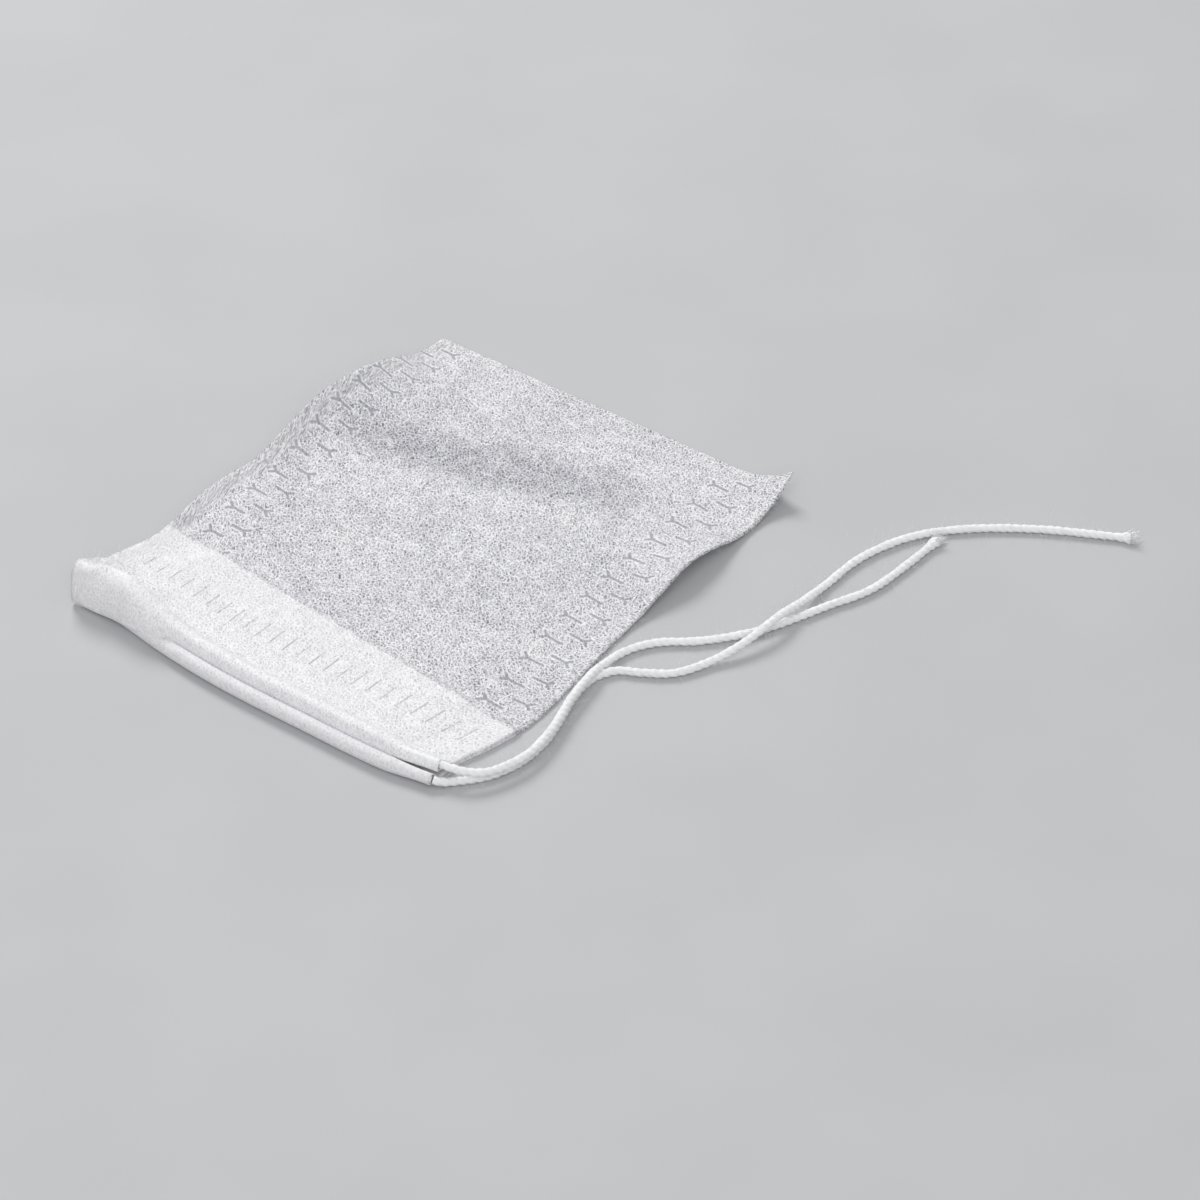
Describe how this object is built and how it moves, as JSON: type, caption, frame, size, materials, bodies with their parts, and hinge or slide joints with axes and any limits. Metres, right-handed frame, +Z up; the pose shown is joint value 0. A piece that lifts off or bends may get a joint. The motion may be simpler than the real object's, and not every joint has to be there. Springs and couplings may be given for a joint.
{
  "type": "drawstring tea bag",
  "caption": "Empty fillable tea bag of thin white non-woven filter sheet, hemmed at the mouth and closed by a cotton drawstring, lying nearly flat.",
  "frame": {"origin": "middle of the bag's box, on the surface that the bag lies on", "axes": "+X across the bag, from the closed mouth corner to the corner that the string leaves by; +Y from the mouth to the bottom fold; +Z up, from the back panel to the front panel"},
  "size_m": [0.0912, 0.0894, 0.0063],
  "materials": {
    "filter_sheet": "matte",
    "cotton_string": "matte"
  },
  "bodies": {
    "root": {"filter_bag": "filter_sheet", "drawstring": "cotton_string"}
  },
  "joints": []
}
